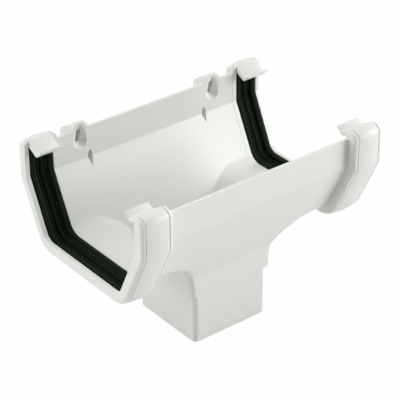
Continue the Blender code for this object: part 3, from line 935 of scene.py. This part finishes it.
def surface_material(name, dark, light, rough, sizes, bump, ior):
    """Plastic or rubber; sizes are the group's wave size, grain size and grain share."""
    material = bpy.data.materials.new(name)
    material.use_nodes = True
    nodes, links = material.node_tree.nodes, material.node_tree.links
    shader = nodes["Principled BSDF"]
    surface = nodes.new("ShaderNodeGroup")
    surface.node_tree = SURFACE
    for key, value in zip(("Wave Size", "Grain Size", "Grain Share"), sizes):
        surface.inputs[key].default_value = value
    links.new(tinted(nodes, links, surface.outputs["Mottle"], dark, light), shader.inputs["Base Color"])
    links.new(ranged(nodes, links, surface.outputs["Mottle"], *rough), shader.inputs["Roughness"])
    relief = nodes.new("ShaderNodeBump")
    relief.inputs["Strength"].default_value = bump[0]
    relief.inputs["Distance"].default_value = bump[1]
    links.new(surface.outputs["Height"], relief.inputs["Height"])
    links.new(relief.outputs["Normal"], shader.inputs["Normal"])
    shader.inputs["IOR"].default_value = ior
    return material


# %% White plastic and black rubber
UPVC_IOR = 1.53
RUBBER_IOR = 1.50
upvc = surface_material("white_upvc", (0.804, 0.820, 0.779, 1), (0.816, 0.832, 0.791, 1),
                        (0.27, 0.31), (25.0, 300.0, 0.04), (0.04, 0.0005), UPVC_IOR)
strap_upvc = surface_material("white_upvc_strap", (0.794, 0.812, 0.774, 1), (0.806, 0.824, 0.786, 1),
                              (0.36, 0.40), (30.0, 300.0, 0.04), (0.04, 0.0005), UPVC_IOR)
rubber = surface_material("black_rubber", (0.003, 0.007, 0.003, 1), (0.010, 0.017, 0.009, 1),
                          (0.50, 0.70), (120.0, 1500.0, 0.6), (0.25, 0.0004), RUBBER_IOR)
rubber_shader = rubber.node_tree.nodes["Principled BSDF"]
rubber_shader.inputs["Specular IOR Level"].default_value = 0.06
print("materials", upvc.name, strap_upvc.name, rubber.name)

# %% Painted highlight lines along the rubber
# Colour, spacing and threshold of the painted highlight lines, which stand in for light on the seal's fine
# ribs.
RIB_HIGHLIGHT_COLOUR = (0.030, 0.040, 0.028, 1)
RIB_HIGHLIGHT_SCALE = 150.0
RIB_HIGHLIGHT_START = 0.82


def add_painted_rib_highlights(material, shader):
    """Thin painted highlight lines that run along the strip, standing in for light caught by its fine ribs.
    """
    nodes, links = material.node_tree.nodes, material.node_tree.links
    place = nodes.new("ShaderNodeTexCoord")
    bands = nodes.new("ShaderNodeTexWave")
    bands.bands_direction = "X"
    bands.inputs["Scale"].default_value = RIB_HIGHLIGHT_SCALE
    bands.inputs["Distortion"].default_value = 0.6
    bands.inputs["Detail Scale"].default_value = 2.0
    lines = nodes.new("ShaderNodeMapRange")
    lines.interpolation_type = "SMOOTHSTEP"
    lines.inputs["From Min"].default_value = RIB_HIGHLIGHT_START
    lines.inputs["From Max"].default_value = 1.0
    plain = shader.inputs["Base Color"].links[0].from_socket
    mix = nodes.new("ShaderNodeMix")
    mix.data_type = "RGBA"
    mix.inputs["B"].default_value = RIB_HIGHLIGHT_COLOUR
    links.new(place.outputs["Object"], bands.inputs["Vector"])
    links.new(bands.outputs["Fac"], lines.inputs["Value"])
    links.new(lines.outputs["Result"], mix.inputs["Factor"])
    links.new(plain, mix.inputs["A"])
    links.new(mix.outputs["Result"], shader.inputs["Base Color"])


# Paint the highlight lines into the rubber's base colour.
add_painted_rib_highlights(rubber, rubber_shader)

# %% Materials and solids of each piece


def dress(obj, material, node):
    obj.data.materials.clear()
    obj.data.materials.append(material)
    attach(obj, "root")
    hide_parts(node)


dress(body, upvc, "outlet_body")
for side, word in ((-1, "left"), (1, "right")):
    dress(seals[side], rubber, "gutter_seal_" + word)
    dress(straps[side], strap_upvc, "retaining_strap_" + word)
print("pieces", ", ".join(piece.name for piece in (body, *seals.values(), *straps.values())))

# %% [markdown]
# ## Floor, light and camera
# The photograph is a product shot on white. The floor is pale, and only camera rays see it as near white,
# so the white adds no light to the part. The world is bright all round but dark toward the camera, which is
# what puts the soft dark edge on every corner that faces it. Three soft boxes stand right, left and above.

# %% Floor
FLOOR_COLOUR = (0.82, 0.82, 0.82, 1)
FLOOR_ROUGHNESS = 0.9
FLOOR_WHITE_SHARE = 0.955


def camera_white(material, share):
    """Show a plain surface as white to the camera, keeping a share of its shading."""
    nodes, links = material.node_tree.nodes, material.node_tree.links
    shader = nodes["Principled BSDF"]
    glow = nodes.new("ShaderNodeEmission")
    glow.inputs["Color"].default_value = (1, 1, 1, 1)
    glow.inputs["Strength"].default_value = 1.0
    path = nodes.new("ShaderNodeLightPath")
    amount = nodes.new("ShaderNodeMath")
    amount.operation = "MULTIPLY"
    amount.inputs[1].default_value = share
    mix = nodes.new("ShaderNodeMixShader")
    links.new(path.outputs["Is Camera Ray"], amount.inputs[0])
    links.new(amount.outputs["Value"], mix.inputs["Fac"])
    links.new(shader.outputs["BSDF"], mix.inputs[1])
    links.new(glow.outputs["Emission"], mix.inputs[2])
    links.new(mix.outputs["Shader"], nodes["Material Output"].inputs["Surface"])


deselect_all()
bpy.ops.mesh.primitive_plane_add(size=12, location=(0, 0, 0))
floor = bpy.context.object
floor.name = "floor"
floor_material = bpy.data.materials.new("pale_floor")
floor_material.use_nodes = True
floor_shader = floor_material.node_tree.nodes["Principled BSDF"]
floor_shader.inputs["Base Color"].default_value = FLOOR_COLOUR
floor_shader.inputs["Roughness"].default_value = FLOOR_ROUGHNESS
camera_white(floor_material, FLOOR_WHITE_SHARE)
floor.data.materials.append(floor_material)
print("floor", round(floor.dimensions.x, 1), "m wide")

# %% World
DARK_TOWARD = Vector((-0.52, -0.80, 0.30)).normalized()
DARK_RANGE = (0.20, 0.85)
BRIGHT, DARK = 0.88, 0.02

world = bpy.context.scene.world or bpy.data.worlds.new("studio")
bpy.context.scene.world = world
world.use_nodes = True
nodes, links = world.node_tree.nodes, world.node_tree.links
direction = nodes.new("ShaderNodeTexCoord")
facing = nodes.new("ShaderNodeVectorMath")
facing.operation = "DOT_PRODUCT"
facing.inputs[1].default_value = DARK_TOWARD
studio = nodes.new("ShaderNodeMapRange")
studio.interpolation_type = "SMOOTHSTEP"
studio.inputs["From Min"].default_value = DARK_RANGE[0]
studio.inputs["From Max"].default_value = DARK_RANGE[1]
studio.inputs["To Min"].default_value = BRIGHT
studio.inputs["To Max"].default_value = DARK
path = nodes.new("ShaderNodeLightPath")
strength = nodes.new("ShaderNodeMix")
strength.data_type = "FLOAT"
strength.inputs["B"].default_value = 1.0
links.new(direction.outputs["Generated"], facing.inputs[0])
links.new(facing.outputs["Value"], studio.inputs["Value"])
links.new(studio.outputs["Result"], strength.inputs["A"])
links.new(path.outputs["Is Camera Ray"], strength.inputs["Factor"])
links.new(strength.outputs["Result"], nodes["Background"].inputs["Strength"])
nodes["Background"].inputs["Color"].default_value = (1, 1, 1, 1)
print("world from", DARK, "toward the camera to", BRIGHT)

# %% Soft boxes
BOX_TARGET = Vector((0, 0, 0.09))
BOX_DISTANCE = 1.7


def soft_box(name, azimuth, elevation, size, watts):
    """A large lamp that faces the part; azimuth in degrees from the front, right is positive."""
    turn, rise = math.radians(azimuth), math.radians(elevation)
    toward = Vector((math.sin(turn) * math.cos(rise), -math.cos(turn) * math.cos(rise), math.sin(rise)))
    lamp = bpy.data.lights.new(name, "AREA")
    lamp.shape = "RECTANGLE"
    lamp.size, lamp.size_y = size
    lamp.energy = watts
    obj = bpy.data.objects.new(name, lamp)
    bpy.context.scene.collection.objects.link(obj)
    facing_part = (-toward).to_track_quat("-Z", "Y").to_matrix().to_4x4()
    obj.matrix_world = Matrix.Translation(BOX_TARGET + toward * BOX_DISTANCE) @ facing_part
    print(name, watts, "W")


soft_box("box_right", 48, 15, (1.2, 1.0), 16)
soft_box("box_left", -110, 18, (1.2, 1.0), 10)
soft_box("box_top", 20, 80, (1.5, 1.5), 5.5)

# %% Camera
SENSOR_WIDTH = 36.0
FOCAL_PIXELS = 1720.34
PICTURE_PIXELS = 400
CAMERA_PLACE = Vector((-0.64487, -0.81901 + SHIFT_Y, 0.71479))
CAMERA_RIGHT = Vector((0.78448474, -0.62012646, -0.00518343))
CAMERA_UP = Vector((0.32181464, 0.39993506, 0.85818838))

camera = bpy.data.cameras.new("camera")
camera.sensor_width = SENSOR_WIDTH
camera.lens = SENSOR_WIDTH * FOCAL_PIXELS / PICTURE_PIXELS
camera_object = bpy.data.objects.new("camera", camera)
bpy.context.scene.collection.objects.link(camera_object)
turn = Matrix((CAMERA_RIGHT, CAMERA_UP, CAMERA_RIGHT.cross(CAMERA_UP))).transposed().to_4x4()
camera_object.matrix_world = Matrix.Translation(CAMERA_PLACE) @ turn
bpy.context.scene.camera = camera_object
bpy.context.scene.view_settings.view_transform = "Standard"
print("lens", round(camera.lens, 1), "mm")

# %% Final update
bpy.context.view_layer.update()
